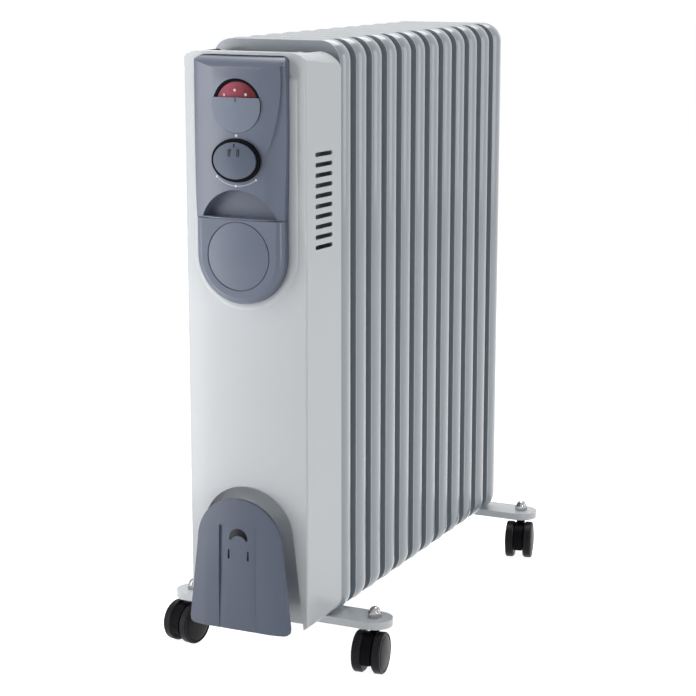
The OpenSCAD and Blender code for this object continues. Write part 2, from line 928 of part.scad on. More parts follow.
module thermostat_lens() {
    t = 2.5;
    color([0.72, 0.16, 0.24])
        difference() {
            union() {
                y_cylinder(0, dial_z, dial_floor_y - t, dial_floor_y, dial_r - ring_t - 2 * panel_gap);
                for (a = [0:30:330])
                    y_cylinder(
                        17 * sin(a), dial_z + 17 * cos(a), dial_floor_y - t - 0.4, dial_floor_y - 1, 1.1);
            }
            y_cylinder(0, dial_z, dial_floor_y - t - cut, dial_floor_y + cut, spindle_r + 0.5);
        }
}

module thermostat_ring() {
    color(black_plastic)
        difference() {
            y_cylinder(0, dial_z, dial_floor_y - 3.4, dial_floor_y, dial_r);
            y_cylinder(0, dial_z, dial_floor_y - 4, dial_floor_y + cut, dial_r - ring_t - panel_gap);
        }
}

// Half-disc knob whose flat edge points across the lens
module thermostat_knob() {
    y1 = dial_floor_y - 3.8;
    t = 2.4;
    color(panel_grey)
        difference() {
            intersection() {
                translate([0, y1, dial_z])
                    rotate([90, 0, 0])
                        rotate_extrude()
                            domed_section(dial_r, t - 1.2, 1);
                translate([-dial_r - cut, y1 - t, dial_z - dial_r - cut])
                    cube([2 * dial_r + 2 * cut, t + cut, dial_r + dial_flat + cut]);
            }
            translate([-1, y1 - t - cut, dial_z + dial_flat - 4])
                cube([2, 1 + cut, 5]);
            y_cylinder(0, dial_z, y1 - 1.4, y1 + cut, spindle_r);
        }
}

module thermostat_spindle() {
    color(bare_steel)
        y_cylinder(0, dial_z, dial_floor_y - 5.1, dial_floor_y + floor_t + 12, spindle_r);
}

// Switch body with a bored bush that its spindle turns in
module control_body(z, y0, w, h, d, bore_d) {
    difference() {
        union() {
            translate([-w / 2, y0 + 3, z - h / 2])
                cube([w, d - 3, h]);
            y_cylinder(0, z, y0, y0 + 4, spindle_r + 4);
            for (x = [-w / 2 + 4, w / 2 - 8])
                translate([x, y0 + d - cut, z - 3])
                    cube([4, 8 + cut, 0.8]);
        }
        y_cylinder(0, z, y0 - cut, y0 + bore_d, spindle_r + run_gap);
    }
}

module thermostat_body() {
    color([0.85, 0.82, 0.74])
        control_body(dial_z, dial_floor_y + floor_t, 34, 30, 22, 13);
}

module pilot_lamp() {
    color([0.9, 0.45, 0.3])
        y_cylinder(14, dial_z + 14, dial_floor_y, dial_floor_y + floor_t, 4);
}

// Black oval skirt under the selector knob
module selector_skirt() {
    k = selector_half_h / selector_r;
    y1 = panel_y - knob_lift;
    color(black_plastic)
        difference() {
            translate([0, y1, selector_z])
                scale([1, 1, k])
                    rotate([90, 0, 0])
                        cylinder(h = skirt_t, r1 = selector_r, r2 = selector_r - 0.6, $fn = 128);
            y_cylinder(0, selector_z, y1 - skirt_t - cut, y1 + cut, spindle_r + 0.05);
        }
}

// Oval knob with a domed face
module selector_knob() {
    y1 = panel_y - knob_lift - skirt_t;
    rim = selector_r - skirt_w;
    k = (selector_half_h - skirt_w) / rim;
    dome = 2.6;
    body = y1 - panel_y + selector_proud - dome;
    color(panel_grey)
        difference() {
            translate([0, y1, selector_z])
                scale([1, 1, k])
                    rotate([90, 0, 0])
                        rotate_extrude($fn = 128)
                            domed_section(rim, body, dome);
            y_cylinder(0, selector_z, y1 - 1.6, y1 + cut, spindle_r);
        }
}

module selector_spindle() {
    color(bare_steel)
        y_cylinder(0, selector_z, panel_y - knob_lift - skirt_t - 1.5, selector_back_y + 12, spindle_r);
}

module selector_switch() {
    color([0.15, 0.15, 0.16])
        control_body(selector_z, selector_back_y, 30, 26, 24, 13);
}

// ---------- Electrics and oil ----------

// Flange in the lower front hub with two tube loops lying in the oil
module heating_element() {
    tube_r = 4;
    loop_x = 10;
    y0 = seam_y + web_mid - fin_pitch / 2;
    loop_l = fin_pitch * (fin_count - 3);
    color(bare_steel) {
        y_cylinder(0, hub_low_z, y0 - 5, y0, hub_r);
        for (z = [-loop_x / 2 - 1, loop_x / 2 + 1]) {
            for (x = [-loop_x, loop_x]) {
                y_cylinder(x, hub_low_z + z, y0 - cut, y0 + loop_l, tube_r);
                y_cylinder(x, hub_low_z + z, y0 - 15, y0 - 4, 1.5);
            }
            translate([0, y0 + loop_l, hub_low_z + z])
                rotate_extrude(angle = 180)
                    translate([loop_x, 0])
                        circle(tube_r);
        }
    }
}

module thermal_cutout() {
    y = plate_front_y;
    z = hub_low_z + 130;
    color(bare_steel) {
        y_cylinder(0, z, y - 1.5, y, 12);
        y_cylinder(0, z, y - 9, y - cut, 8);
    }
}

module terminal_block() {
    y = plate_front_y;
    z = hub_low_z + 200;
    poles = 3;
    pole_w = 12;
    color([0.9, 0.9, 0.86])
        difference() {
            translate([-poles * pole_w / 2, y - 16, z])
                cube([poles * pole_w, 16, 22]);
            for (i = [0:poles - 1])
                translate([(i - (poles - 1) / 2) * pole_w, 0, z]) {
                    y_cylinder(0, 6, y - 17, y - 6, 2.5);
                    y_cylinder(0, 16, y - 17, y - 6, 2.5);
                }
        }
}

// Discs welded over the open ends of the end hubs
module hub_caps() {
    front = seam_y + web_mid - fin_pitch / 2;
    rear = last_seam_y + web_mid + fin_pitch / 2;
    color(fin_paint)
        for (cap = [[front - hub_cap_t, hub_high_z], [rear, hub_high_z], [rear, hub_low_z]])
            y_cylinder(0, cap[1], cap[0], cap[0] + hub_cap_t, hub_r);
}

module oil_filler_plug() {
    rear = last_seam_y + web_mid + fin_pitch / 2 + hub_cap_t;
    color(bare_steel)
        translate([0, rear, hub_high_z])
            rotate([-90, 0, 0]) {
                cylinder(h = 1.5, r = 9);
                cylinder(h = 6, r = 7.5, $fn = 6);
            }
}

// ---------- Cord store ----------

// Crowned cylinder that the cord panel's faces follow, leaning out towards the top
module cord_panel_crown(inset) {
    face_y = housing_y - store_proud;
    r = store_crown_r - inset;
    translate([0, face_y, cord_panel_top_z])
        rotate([-store_lean, 0, 0])
            translate([0, store_crown_r, -2 * store_top_z])
                cylinder(h = 3 * store_top_z, r = r, $fn = 360);
}

// Crowned panel on a winding post, with a plug hook cut in its channel
module cord_store_panel() {
    face_y = housing_y - store_proud;
    y0 = face_y - 2 * cut;
    y1 = housing_y;
    tab_z = cord_panel_mid_z + 6;
    tab_r = 9;
    post_w = 44;
    low = housing_z + 1;
    post_low = low + 8;
    post_h = tab_z - 16 - post_low;
    half_channel = store_channel_w / 2;
    color(panel_dark)
        difference() {
            union() {
                intersection() {
                    front_prism(y0, y1)
                        cord_panel_outline();
                    difference() {
                        cord_panel_crown(0);
                        cord_panel_crown(cord_panel_t);
                    }
                }
                intersection() {
                    difference() {
                        translate([-post_w / 2, y0, post_low])
                            cube([post_w, store_floor_y - y0, post_h]);
                        translate([panel_t - post_w / 2, y0 - cut, post_low + panel_t])
                            cube([post_w - 2 * panel_t, store_floor_y - y0 + 2 * cut, post_h - 2 * panel_t]);
                    }
                    cord_panel_crown(channel_depth + 0.8);
                }
            }
            difference() {
                front_prism(y0, y1)
                    translate([-half_channel, low - cut])
                        square([store_channel_w, tab_z + 14 - low]);
                cord_panel_crown(channel_depth);
            }
            front_prism(y0, y1)
                difference() {
                    translate([0, tab_z])
                        circle(tab_r + 1.5);
                    translate([0, tab_z - 6])
                        circle(tab_r);
                    translate([-2 * tab_r, tab_z - 3 * tab_r])
                        square([4 * tab_r, 3 * tab_r - 2]);
                }
            for (x = [-tab_r - 3, tab_r + 1])
                front_prism(y0, y1)
                    translate([x, tab_z - 22])
                        square([2, 10]);
        }
}

// Bush in the housing's floor for a mains cord
module cord_gland() {
    color(black_plastic)
        translate([-housing_screw_x, gland_y, housing_z])
            difference() {
                union() {
                    translate([0, 0, -2])
                        cylinder(h = 2, r = cord_r + 5);
                    translate([0, 0, -cut])
                        cylinder(h = housing_t + 9 + cut, r = cord_r + 2.5);
                }
                translate([0, 0, -3])
                    cylinder(h = housing_t + 15, r = cord_r);
            }
}

// ---------- Feet ----------

// Long rounded outline of a foot bracket
module foot_outline(inset) {
    square([2 * foot_x, foot_w - 2 * inset], center = true);
    for (x = [-foot_x, foot_x])
        translate([x, 0])
            circle(foot_w / 2 - inset);
}

module foot_bracket(i) {
    y = foot_ys[i];
    color(housing_paint)
        difference() {
            translate([0, y, foot_z - foot_rim])
                difference() {
                    linear_extrude(foot_rim)
                        foot_outline(0);
                    translate([0, 0, -cut])
                        linear_extrude(foot_rim - foot_t + cut)
                            foot_outline(foot_t);
                }
            for (x = [-foot_x, foot_x])
                translate([x, y, foot_z - foot_t - cut])
                    cylinder(h = foot_t + 2 * cut, r = stem_r + 0.2);
            for (x = [-bolt_ring_r, bolt_ring_r])
                translate([x, bolt_ys[i], foot_z - foot_t - cut])
                    cylinder(h = foot_t + 2 * cut, r = bolt_r + bolt_clear);
        }
}

// Rod bent over a hub, with its threaded ends through the bracket
module u_bolt(i) {
    color(bare_steel)
        translate([0, bolt_ys[i], 0]) {
            translate([0, 0, hub_low_z])
                rotate([90, 0, 0])
                    rotate_extrude(angle = 180)
                        translate([bolt_ring_r, 0])
                            circle(bolt_r, $fn = 32);
            for (x = [-bolt_ring_r, bolt_ring_r])
                translate([x, 0, foot_z - 14])
                    cylinder(h = hub_low_z - foot_z + 14, r = bolt_r, $fn = 32);
        }
}

module wing_nuts() {
    h = 7;
    color(bare_steel)
        for (y = bolt_ys, x = [-bolt_ring_r, bolt_ring_r])
            translate([x, y, foot_z - foot_t - h])
                difference() {
                    union() {
                        cylinder(h = h, r = bolt_r + 2.4, $fn = 32);
                        translate([-11, -0.9, -2])
                            cube([22, 1.8, 6]);
                    }
                    translate([0, 0, -3])
                        cylinder(h = h + 5, r = bolt_r + 0.05, $fn = 32);
                }
}

// ---------- Castors ----------

// Places a castor's parts at corner i, standing turned about its stem
module at_castor(i) {
    x = (i % 2 == 0) ? -foot_x : foot_x;
    translate([x, foot_ys[i < 2 ? 0 : 1], 0])
        rotate([0, 0, castor_turn[i]])
            children();
}

// Cylinder along X, round the castor's axle
module axle_cylinder(x0, x1, r) {
    translate([x0, -castor_trail, axle_z])
        rotate([0, 90, 0])
            cylinder(h = x1 - x0, r = r);
}

module castor_hood(i) {
    color(black_plastic)
        at_castor(i)
            difference() {
                union() {
                    difference() {
                        axle_cylinder(-hood_w / 2, hood_w / 2, hood_r);
                        translate([-hood_w, -castor_trail - wheel_r, -cut])
                            cube([2 * hood_w, 2 * wheel_r, hood_low_z + cut]);
                    }
                    translate([0, 0, stem_bore_z - 4])
                        cylinder(h = neck_low_z - stem_bore_z + 4.5, r = socket_r);
                    translate([0, 0, neck_low_z])
                        cylinder(h = neck_top_z - neck_low_z, r = neck_r);
                }
                axle_cylinder(-hood_w, hood_w, axle_r + 0.02);
                translate([0, 0, stem_bore_z])
                    cylinder(h = foot_z, r = stem_low_r + run_gap);
            }
}

module castor_axle(i) {
    color(bare_steel)
        at_castor(i)
            axle_cylinder(-wheel_out + 2, wheel_out - 2, axle_r);
}

// Profile of a wheel: x is the radius, y runs from the inner face outwards
module wheel_profile() {
    edge = 2;
    steps = 6;
    face_r = wheel_r - 3.5;
    face_z = wheel_w - 0.6;
    dome = [
        for (k = [0:steps])
            [face_r * sin(90 * k / steps), face_z + wheel_dome * cos(90 * k / steps)]
    ];
    polygon(concat(
        [[0, wheel_w - 2]],
        dome,
        [
            [wheel_r - 2.6, wheel_w - 0.6],
            [wheel_r - 2.2, wheel_w],
            [wheel_r - 1, wheel_w],
            [wheel_r, wheel_w - 1.2],
            [wheel_r, edge],
            [wheel_r - edge, 0],
            [axle_r + run_gap, 0],
            [axle_r + run_gap, wheel_w - 1.4],
            [0, wheel_w - 1.4]
        ]
    ));
}

module castor_wheel(i, side) {
    color(black_plastic)
        at_castor(i)
            translate([side * wheel_in, -castor_trail, axle_z])
                rotate([0, side * 90, 0])
                    rotate_extrude()
                        wheel_profile();
}

// Fixed stems: thread through the bracket, journal down in the hood
module castor_stems() {
    color(bare_steel)
        for (i = [0:3])
            at_castor(i) {
                translate([0, 0, stem_bore_z + 1])
                    cylinder(h = collar_z - stem_bore_z, r = stem_low_r);
                translate([0, 0, collar_z])
                    cylinder(h = collar_t, r = nut_r, $fn = 6);
                translate([0, 0, collar_z + collar_t - 0.5])
                    cylinder(h = foot_t + nut_h + 2.5, r = stem_r);
            }
}

module acorn_nuts() {
    color([0.8, 0.8, 0.8])
        for (i = [0:3])
            at_castor(i)
                translate([0, 0, foot_z])
                    difference() {
                        union() {
                            cylinder(h = nut_h, r = nut_r, $fn = 6);
                            intersection() {
                                translate([0, 0, nut_h])
                                    sphere(dome_r, $fn = 48);
                                translate([0, 0, nut_h - 0.5])
                                    cylinder(h = dome_r + 1, r = dome_r);
                            }
                        }
                        translate([0, 0, -cut])
                            cylinder(h = nut_h + 2.4 + cut, r = stem_r + 0.05);
                    }
}

// ---------- Nodes ----------

for (i = [0:fin_count - 1])
    fin(i);
front_cover();
back_plate();
control_panel();
badge_panel();
badge_disc();
cord_store_panel();
cord_gland();
housing_screws();
thermostat_lens();
thermostat_ring();
thermostat_knob();
thermostat_spindle();
thermostat_body();
pilot_lamp();
selector_skirt();
selector_knob();
selector_spindle();
selector_switch();
heating_element();
thermal_cutout();
terminal_block();
hub_caps();
oil_filler_plug();
foot_bracket(0);  // foot_bracket_front
foot_bracket(1);  // foot_bracket_rear
u_bolt(0);  // u_bolt_front
u_bolt(1);  // u_bolt_rear
wing_nuts();
castor_stems();
acorn_nuts();
for (i = [0:3]) {
    castor_hood(i);
    castor_axle(i);
    castor_wheel(i, i % 2 == 0 ? -1 : 1);
    castor_wheel(i, i % 2 == 0 ? 1 : -1);
}
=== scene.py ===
import bpy, json, math
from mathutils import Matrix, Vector
from mathutils.bvhtree import BVHTree


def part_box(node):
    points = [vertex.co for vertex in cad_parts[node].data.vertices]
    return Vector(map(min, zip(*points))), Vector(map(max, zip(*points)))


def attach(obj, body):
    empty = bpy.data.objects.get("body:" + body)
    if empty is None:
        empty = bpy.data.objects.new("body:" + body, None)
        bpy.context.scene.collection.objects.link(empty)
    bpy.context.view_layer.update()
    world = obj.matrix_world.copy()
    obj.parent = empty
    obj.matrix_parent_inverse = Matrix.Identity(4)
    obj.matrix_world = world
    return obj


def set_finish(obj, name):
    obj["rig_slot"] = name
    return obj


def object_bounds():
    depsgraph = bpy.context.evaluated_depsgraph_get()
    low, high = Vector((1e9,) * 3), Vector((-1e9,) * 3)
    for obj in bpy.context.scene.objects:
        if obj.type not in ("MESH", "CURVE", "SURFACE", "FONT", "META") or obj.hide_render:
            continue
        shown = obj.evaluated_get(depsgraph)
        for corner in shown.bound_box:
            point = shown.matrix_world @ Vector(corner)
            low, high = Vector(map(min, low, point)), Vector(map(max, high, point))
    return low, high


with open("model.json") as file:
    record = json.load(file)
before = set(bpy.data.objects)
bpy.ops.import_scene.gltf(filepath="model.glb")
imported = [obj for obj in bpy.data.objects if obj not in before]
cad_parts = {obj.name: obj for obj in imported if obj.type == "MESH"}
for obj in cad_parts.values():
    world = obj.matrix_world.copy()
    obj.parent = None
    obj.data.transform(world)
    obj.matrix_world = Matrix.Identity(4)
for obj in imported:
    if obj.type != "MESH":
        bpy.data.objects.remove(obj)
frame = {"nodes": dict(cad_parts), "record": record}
cad_box = [list(v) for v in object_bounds()]
nodes = frame["nodes"]
record = frame["record"]
scene = bpy.context.scene

# Lengths are in metres, angles in degrees and lamp powers in watts.


# ---------- Materials ----------

CLOUD_SCALE = 14.0         # colour clouds
GLOSS_SCALE = 70.0         # uneven gloss
NOISE_SPAN = (0.3, 0.7)    # the part of a noise's range that a ramp spreads out
BUMP_DEPTH = 0.0004
PAINTED_LIGHT_SPAN = (0.30, 0.80)  # where the painted highlight-to-shade sweep starts and ends, as shares of the piece's width


def new_material(name):
    m = bpy.data.materials.new(name)
    m.use_nodes = True
    t = m.node_tree
    return m, t, t.nodes["Principled BSDF"]


def noise(tree, scale, detail):
    co = tree.nodes.new("ShaderNodeTexCoord")
    n = tree.nodes.new("ShaderNodeTexNoise")
    n.inputs["Scale"].default_value = scale
    n.inputs["Detail"].default_value = detail
    tree.links.new(co.outputs["Object"], n.inputs["Vector"])
    return n.outputs["Fac"]


def ramp(tree, source, span, first, last):
    """Colour ramp over span, from the first colour to the last."""
    r = tree.nodes.new("ShaderNodeValToRGB")
    tree.links.new(source, r.inputs["Fac"])
    for stop, at, colour in zip(r.color_ramp.elements, span, (first, last)):
        stop.position = at
        stop.color = (*colour, 1.0)
    return r.outputs["Color"]


def mix_in(tree, factor, base, colour):
    """Mixes a fixed colour into base by factor."""
    mix = tree.nodes.new("ShaderNodeMix")
    mix.data_type = "RGBA"
    tree.links.new(factor, mix.inputs["Factor"])
    tree.links.new(base, mix.inputs["A"])
    mix.inputs["B"].default_value = (*colour, 1.0)
    return mix.outputs["Result"]


def grey(v):
    return (v, v, v)


def shade(c, k):
    return tuple(v * k for v in c)


BLACK, WHITE = grey(0.0), grey(1.0)


def surface(name, colour, rough, vary=0.03, grain=900.0, bump=0.05, rough_vary=0.05,
            coat=0.0, coat_rough=0.1, metallic=0.0, spec=0.5, painted_light_sweep=None):
    """Painted, moulded or plated surface with soft colour clouds, a fine grain and uneven gloss.

    The sweep is a second colour that takes over towards the right of the piece, as painted
    highlight and shade across it."""
    m, t, p = new_material(name)
    tint = ramp(t, noise(t, CLOUD_SCALE, 4.0), NOISE_SPAN,
                shade(colour, 1 - vary), shade(colour, 1 + vary))
    # Painted highlight and shade: the colour shifts from the first colour on the left to the
    # second on the right
    if painted_light_sweep:
        co = t.nodes.new("ShaderNodeTexCoord")
        across = t.nodes.new("ShaderNodeSeparateXYZ")
        t.links.new(co.outputs["Generated"], across.inputs["Vector"])
        side = ramp(t, across.outputs["X"], PAINTED_LIGHT_SPAN, BLACK, WHITE)
        tint = mix_in(t, side, tint, painted_light_sweep)
    t.links.new(tint, p.inputs["Base Color"])
    gloss = ramp(t, noise(t, GLOSS_SCALE, 5.0), NOISE_SPAN,
                 grey(rough - rough_vary), grey(rough + rough_vary))
    t.links.new(gloss, p.inputs["Roughness"])
    b = t.nodes.new("ShaderNodeBump")
    b.inputs["Strength"].default_value = bump
    b.inputs["Distance"].default_value = BUMP_DEPTH
    t.links.new(noise(t, grain, 2.0), b.inputs["Height"])
    t.links.new(b.outputs["Normal"], p.inputs["Normal"])
    p.inputs["Metallic"].default_value = metallic
    p.inputs["Coat Weight"].default_value = coat
    p.inputs["Coat Roughness"].default_value = coat_rough
    p.inputs["Specular IOR Level"].default_value = spec
    return m


MATERIALS = {
    # The fins wear the housing's enamel; this darker colour is painted shade for the deep gaps
    # between them
    "fin_paint": surface(
        "fin_enamel_painted_shade", (0.35, 0.395, 0.44), 0.30, vary=0.006, grain=700, bump=0.02,
        rough_vary=0.015, coat=0.8, coat_rough=0.12),
    "housing_paint": surface(
        "housing_enamel", (0.74, 0.77, 0.80), 0.30, vary=0.005, grain=800, bump=0.03,
        rough_vary=0.012, coat=0.25),
    "panel_plastic": surface(
        "panel_moulding", (0.138, 0.166, 0.236), 0.33, vary=0.02, grain=1600, bump=0.06,
        rough_vary=0.02, spec=0.7),
    "cord_panel_plastic": surface(
        "cord_panel_moulding", (0.102, 0.125, 0.178), 0.40, vary=0.02, grain=1600, bump=0.06,
        rough_vary=0.02),
    # The red window is lighter on the left and darker on the right: a painted highlight and
    # painted shade
    "red_lens": surface(
        "red_window", (0.44, 0.085, 0.135), 0.18, vary=0.15, grain=500, bump=0.03,
        coat=0.2, spec=0.3, painted_light_sweep=(0.17, 0.002, 0.012)),
    "black_plastic": surface(
        "black_moulding", (0.003, 0.003, 0.005), 0.40, vary=0.10, grain=1500, bump=0.08,
        spec=0.06),
    "wheel_plastic": surface(
        "nylon_tread", (0.006, 0.006, 0.008), 0.38, vary=0.12, grain=1200, bump=0.10,
        spec=0.16),
    "zinc_steel": surface(
        "zinc_plate", (0.55, 0.55, 0.54), 0.34, vary=0.08, grain=400, bump=0.08, metallic=1.0),
    "chrome": surface(
        "polished_plate", (0.36, 0.36, 0.36), 0.12, vary=0.03, grain=300, bump=0.02,
        rough_vary=0.03, metallic=1.0),
    "pale_plastic": surface(
        "pale_moulding", (0.70, 0.67, 0.58), 0.45, vary=0.05, grain=1500, bump=0.08),
}
KNOB_FINISH = surface(
    "knob_moulding", (0.205, 0.238, 0.318), 0.36, vary=0.02, grain=1600, bump=0.06,
    rough_vary=0.02)
SELECTOR_FINISH = surface(
    "selector_moulding", (0.125, 0.152, 0.215), 0.40, vary=0.02, grain=1600, bump=0.06,
    rough_vary=0.02, spec=0.35)


def dress(node, material):
    nodes[node].data.materials.clear()
    nodes[node].data.materials.append(material)


for part in record["subparts"]:
    dress(part["node"], MATERIALS[part["material_slot"]])
    nodes[part["node"]]["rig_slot"] = part["material_slot"]
dress("thermostat_knob", KNOB_FINISH)
dress("selector_knob", SELECTOR_FINISH)


# ---------- Painted shade inside the housing --------

# Colour of the painted shade inside the housing and behind the cord store panel
INSIDE_SHADE_COLOUR = (0.004, 0.004, 0.006)
SHADED_ABOVE_STORE = 0.02   # the sides' inner faces get the painted shade from here up, above the cord store
STORE_SHADE_X = -0.014      # middle of the shaded patch behind the cord store panel
STORE_SHADE_DROP = 0.070    # and how far below the panel's top it is
STORE_SHADE_W = 0.030       # half the patch's width
STORE_SHADE_H = 0.045       # half its height
STORE_SHADE_EDGE = (0.55, 1.0)   # where it fades out, as shares of its squared radius
BEHIND_PANEL = -0.004       # the patch starts this far in front of the panel's rear face


def paint_inside_shade(material):
    """Painted shade on the housing's inner faces: a dark colour where shade falls, so that its
    vents read as openings.

    The store's floor also gets a soft painted shadow behind the hook of the cord store panel."""
    t = material.node_tree
    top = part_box("cord_store_panel")[1]
    geo = t.nodes.new("ShaderNodeNewGeometry")
    at = t.nodes.new("ShaderNodeSeparateXYZ")
    facing = t.nodes.new("ShaderNodeSeparateXYZ")
    t.links.new(geo.outputs["Position"], at.inputs["Vector"])
    t.links.new(geo.outputs["True Normal"], facing.inputs["Vector"])

    def op(kind, a, b):
        n = t.nodes.new("ShaderNodeMath")
        n.operation = kind
        for socket, v in zip(n.inputs, (a, b)):
            if hasattr(v, "is_linked"):
                t.links.new(v, socket)
            else:
                socket.default_value = v
        return n.outputs["Value"]

    inward = op("MULTIPLY", op("SIGN", at.outputs["X"], 0.0), facing.outputs["X"])
    above_store = op("GREATER_THAN", at.outputs["Z"], top.z + SHADED_ABOVE_STORE)
    sides = op("MULTIPLY", op("LESS_THAN", inward, -0.5), above_store)
    across = op("DIVIDE", op("SUBTRACT", at.outputs["X"], STORE_SHADE_X), STORE_SHADE_W)
    up = op("DIVIDE", op("SUBTRACT", at.outputs["Z"], top.z - STORE_SHADE_DROP), STORE_SHADE_H)
    away = op("ADD", op("MULTIPLY", across, across), op("MULTIPLY", up, up))
    near = ramp(t, away, STORE_SHADE_EDGE, WHITE, BLACK)
    behind_panel = op("GREATER_THAN", at.outputs["Y"], top.y + BEHIND_PANEL)
    shaded = op("MAXIMUM", sides, op("MULTIPLY", near, behind_panel))
    inside = op("MAXIMUM", shaded, op("GREATER_THAN", facing.outputs["Y"], 0.5))
    base = t.nodes["Principled BSDF"].inputs["Base Color"]
    # Painted shade: the dark colour is mixed in over the inner faces and the patch behind the
    # cord store panel
    t.links.new(mix_in(t, inside, base.links[0].from_socket, INSIDE_SHADE_COLOUR), base)


# The housing's enamel, with painted shade on its inner faces
shaded_inside_finish = MATERIALS["housing_paint"].copy()
shaded_inside_finish.name = "housing_enamel_painted_shade_inside"
paint_inside_shade(shaded_inside_finish)
dress("front_cover", shaded_inside_finish)
dress("back_plate", shaded_inside_finish)


# ---------- Softened edges on the solids that show ----------

# Node: bevel width, and the smallest angle between faces that is softened
SOFT_EDGES = {
    "front_cover": (0.0012, 30),
    "control_panel": (0.0009, 30),
    "badge_panel": (0.0008, 30),
    "cord_store_panel": (0.0008, 30),
    "foot_bracket_front": (0.0012, 30),
    "foot_bracket_rear": (0.0012, 30),
    "acorn_nuts": (0.0003, 50),
}
WELD_REACH = 0.00001
FLAT_WITHIN = 0.08   # facets closer to flat than this become one face, so that the bevel is even
EDGE_SEGMENTS = 2
FACE_WEIGHT = 50


def soften(node, width, angle):
    o = nodes[node]
    weld = o.modifiers.new("weld", "WELD")
    weld.merge_threshold = WELD_REACH
    flat = o.modifiers.new("flat", "DECIMATE")
    flat.decimate_type = "DISSOLVE"
    flat.angle_limit = math.radians(FLAT_WITHIN)
    edge = o.modifiers.new("edge", "BEVEL")
    edge.width = width
    edge.segments = EDGE_SEGMENTS
    edge.limit_method = "ANGLE"
    edge.angle_limit = math.radians(angle)
    edge.harden_normals = True
    edge.use_clamp_overlap = True
    shading = o.modifiers.new("shading", "WEIGHTED_NORMAL")
    shading.mode = "FACE_AREA_WITH_ANGLE"
    shading.weight = FACE_WEIGHT


for name, (width, angle) in SOFT_EDGES.items():
    soften(name, width, angle)


# ---------- Printed marks ----------

MARK_THICKNESS = 0.00012
RAY_START = 0.1                  # in front of the part's foremost point
DISC_POINTS = 20
ARC_STEPS = 24

SKIRT_GAP = 0.0035               # from the selector's skirt out to the marks round it
SETTING_ANGLES = (-138, -92, -47)
SETTING_R = 0.0012
ARC_ANGLES = (-140, -45)
ARC_WIDTH = 0.0009
BETWEEN_R = 0.0014               # dot between the two knobs
DIAL_DOTS = ((-0.0140, 0.0100), (-0.0025, 0.0150), (0.0095, 0.0109))   # from the lens's middle
DIAL_DOT_R = 0.0013
POINTER_SIZE = (0.0008, 0.0040)
POINTER_DROP = 0.0035            # from the knob's top to the pointer's middle
BAR_SIZE = (0.0026, 0.0074)
BAR_SIDE, BAR_UP = 0.0047, 0.0078   # from the knob's middle


def face_y(node, x, z):
    """Y of the node's foremost surface at (x, z)."""
    tree = BVHTree.FromObject(nodes[node], bpy.context.evaluated_depsgraph_get())
    hit = tree.ray_cast(Vector((x, cad_box[0][1] - RAY_START, z)), Vector((0, 1, 0)))
    return hit[0].y


def printed(name, outline, node, body, material, flat=False):
    """Thin printed patch on a node's face, from a list of (x, z) points.

    It follows the face, or with flat is level with the foremost point that it covers."""
    front = [(x, face_y(node, x, z) - MARK_THICKNESS, z) for x, z in outline]
    back = [(x, y + 2 * MARK_THICKNESS, z) for x, y, z in front]
    if flat:
        foremost = min(y for x, y, z in front)
        front = [(x, foremost, z) for x, y, z in front]
    n = len(outline)
    faces = [tuple(range(n)), tuple(range(2 * n - 1, n - 1, -1))]
    faces += [(i, n + i, n + (i + 1) % n, (i + 1) % n) for i in range(n)]
    mesh = bpy.data.meshes.new(name)
    mesh.from_pydata(front + back, [], faces)
    mesh.update()
    o = bpy.data.objects.new(name, mesh)
    scene.collection.objects.link(o)
    mesh.materials.append(material)
    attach(o, body)
    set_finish(o, material["slot"])


def on_ellipse(x, z, rx, rz, angle):
    return x + rx * math.cos(angle), z + rz * math.sin(angle)


def disc_outline(x, z, r):
    return [on_ellipse(x, z, r, r, 2 * math.pi * k / DISC_POINTS) for k in range(DISC_POINTS)]


def bar_outline(x, z, w, h):
    return [(x - w / 2, z - h / 2), (x + w / 2, z - h / 2),
            (x + w / 2, z + h / 2), (x - w / 2, z + h / 2)]


def arc_outline(x, z, rx, rz, start, end, width):
    """Strip along an ellipse, from the start angle to the end angle."""
    angles = [math.radians(start + (end - start) * k / ARC_STEPS) for k in range(ARC_STEPS + 1)]
    half = width / 2
    outer = [on_ellipse(x, z, rx + half, rz + half, a) for a in angles]
    inner = [on_ellipse(x, z, rx - half, rz - half, a) for a in angles]
    return outer + inner[::-1]


def ink(name, slot, colour, rough):
    m = surface(name, colour, rough, vary=0.04, grain=1800, bump=0.03)
    m["slot"] = slot
    return m


WHITE_INK = ink("white_print", "pale_plastic", (0.80, 0.82, 0.86), 0.5)
PALE_INK = ink("pale_print", "pale_plastic", (0.50, 0.54, 0.62), 0.5)
DARK_INK = ink("dark_print", "black_plastic", (0.012, 0.014, 0.022), 0.45)
DIAL_DOT_INK = ink("dial_dot_print", "pale_plastic", (0.95, 0.78, 0.80), 0.5)


def middle(node):
    low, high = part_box(node)
    return (low.x + high.x) / 2, (low.z + high.z) / 2


def mark_control_panel():
    x, z = middle("selector_skirt")
    dial_x, dial_z = middle("thermostat_lens")
    low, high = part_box("selector_skirt")
    rx, rz = (high.x - low.x) / 2 + SKIRT_GAP, (high.z - low.z) / 2 + SKIRT_GAP
    between = (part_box("thermostat_knob")[0].z + high.z) / 2
    printed("mark_between_knobs", disc_outline(x, between, BETWEEN_R), "control_panel",
            "radiator", WHITE_INK)
    for k, angle in enumerate(SETTING_ANGLES):
        at = on_ellipse(x, z, rx, rz, math.radians(angle))
        printed(f"mark_setting_{k + 1}", disc_outline(*at, SETTING_R), "control_panel",
                "radiator", WHITE_INK)
    printed("mark_setting_arc", arc_outline(x, z, rx, rz, *ARC_ANGLES, ARC_WIDTH),
            "control_panel", "radiator", PALE_INK)
    for k, (dx, dz) in enumerate(DIAL_DOTS):
        printed(f"mark_dial_{k + 1}", disc_outline(dial_x + dx, dial_z + dz, DIAL_DOT_R),
                "thermostat_lens", "radiator", DIAL_DOT_INK, flat=True)


